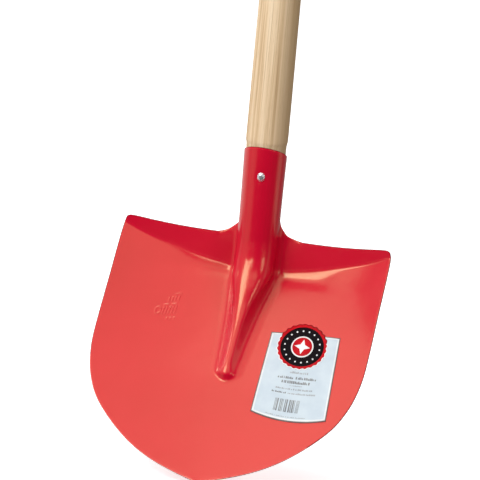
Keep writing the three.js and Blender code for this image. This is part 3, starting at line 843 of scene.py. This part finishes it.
yaw, pitch, lean = 13.0 * DEG, 12.0 * DEG, 5.3 * DEG
back = Vector((math.sin(yaw) * math.cos(pitch), -math.cos(yaw) * math.cos(pitch), math.sin(pitch)))
right = Vector((math.cos(yaw), math.sin(yaw), 0))
up = back.cross(right)
R = right * math.cos(lean) + up * math.sin(lean)
U = up * math.cos(lean) - right * math.sin(lean)
MM_PX, DIST = 0.99, 16.0
mouth = Vector((0, AXIS_Y, MOUTH_Z)) / 1000
target = mouth - R * ((265.75 - 240) * MM_PX / 1000) - U * ((240 - 153.25) * MM_PX / 1000)
cam_data = bpy.data.cameras.new("camera")
cam = bpy.data.objects.new("camera", cam_data)
bpy.context.scene.collection.objects.link(cam)
cam_data.sensor_width = 36
cam_data.lens = 36 * DIST / (480 * MM_PX / 1000)
cam_data.clip_start, cam_data.clip_end = 0.05, 200
from mathutils import Matrix
cam.matrix_world = Matrix.Translation(target + back * DIST) @ Matrix((R, U, back)).transposed().to_4x4()
bpy.context.scene.camera = cam


def area(name, loc, aim, size, power, colour=(1, 1, 1), size_y=None):
    d = bpy.data.lights.new(name, "AREA")
    d.energy = power
    d.color = colour
    d.shape = "RECTANGLE"
    d.size = size
    d.size_y = size_y or size
    o = bpy.data.objects.new(name, d)
    bpy.context.scene.collection.objects.link(o)
    o.location = loc
    o.rotation_mode = "QUATERNION"
    o.rotation_quaternion = (Vector(aim) - Vector(loc)).to_track_quat("-Z", "Y")
    o.visible_camera = False
    return o


def softbox(name, direction, dist, width, height, radiance, colour=(1, 1, 1), shine=True):
    """Rectangle of even radiance, seen from the blade in the given direction."""
    aim = Vector((0, 0, 0.22))
    o = area(name, (0, 0, 0), aim, width, radiance * math.pi * width * height, colour, height)
    z = Vector(direction).normalized()
    x = (Vector((1, 0, 0)) - z * z.x).normalized() if abs(z.x) < 0.9 else Vector((0, 1, 0))
    o.rotation_quaternion = Matrix((x, z.cross(x), z)).transposed().to_quaternion()
    o.location = aim + z * dist
    o.visible_glossy = shine


softbox("top_front", (-0.05, -0.42, 0.90), 3.0, 4.6, 2.3, 1.30)
softbox("top_back", (-0.16, 0.10, 0.98), 3.0, 1.9, 0.9, 3.2)
softbox("strip_left", (-0.42, -0.66, 0.63), 3.0, 1.45, 1.15, 7.2, (1.0, 0.99, 1.04))
softbox("strip_front", (-0.10, -0.84, 0.50), 3.0, 0.75, 0.6, 5.4, (1.0, 0.99, 1.04))
softbox("side_left", (-0.86, -0.02, 0.52), 3.0, 0.45, 0.6, 7.0)
softbox("fill_right", (0.80, -0.42, 0.30), 3.0, 0.8, 0.8, 3.6)
softbox("fill_front", (-0.30, -0.95, 0.04), 3.0, 2.0, 0.5, 7.4, shine=False)
softbox("fill_side", (0.75, -0.65, 0.06), 3.0, 1.0, 0.5, 11.0, shine=False)

# surroundings by compass direction: dim towards the front, pale behind, a bright panel on the right
world = bpy.data.worlds.new("studio")
bpy.context.scene.world = world
world.use_nodes = True
wt = world.node_tree
for x in list(wt.nodes):
    wt.nodes.remove(x)
out = wt.nodes.new("ShaderNodeOutputWorld")
bg = wt.nodes.new("ShaderNodeBackground")
tc = wt.nodes.new("ShaderNodeTexCoord")
sep = wt.nodes.new("ShaderNodeSeparateXYZ")
neg = wt.nodes.new("ShaderNodeMath")
neg.operation = "MULTIPLY"
neg.inputs[1].default_value = -1
ang = wt.nodes.new("ShaderNodeMath")
ang.operation = "ARCTAN2"
turn = wt.nodes.new("ShaderNodeMapRange")
turn.inputs["From Min"].default_value = -math.pi
turn.inputs["From Max"].default_value = math.pi
ramp = wt.nodes.new("ShaderNodeValToRGB")
wt.links.new(tc.outputs["Generated"], sep.inputs[0])
wt.links.new(sep.outputs["Y"], neg.inputs[0])
wt.links.new(sep.outputs["X"], ang.inputs[0])
wt.links.new(neg.outputs[0], ang.inputs[1])
wt.links.new(ang.outputs[0], turn.inputs["Value"])
wt.links.new(turn.outputs[0], ramp.inputs["Fac"])
e = ramp.color_ramp.elements
stops = [(-180, 0.60), (-130, 1.6), (-95, 1.5), (-78, 0.6), (-62, 1.0), (-40, 0.9), (-29, 0.08), (20, 0.03), (82, 0.05), (96, 1.3), (110, 1.3), (122, 0.25), (180, 0.60)]
while len(e) < len(stops):
    e.new(0.5)
for k, (deg_at, v) in enumerate(stops):
    e[k].position = (deg_at + 180) / 360
    e[k].color = (v, v, v, 1)
wt.links.new(ramp.outputs["Color"], bg.inputs["Color"])
bg.inputs["Strength"].default_value = 0.6
wt.links.new(bg.outputs[0], out.inputs[0])

sc = bpy.context.scene
sc.view_settings.view_transform = "Standard"
sc.view_settings.look = "None"
sc.view_settings.exposure = 0.0
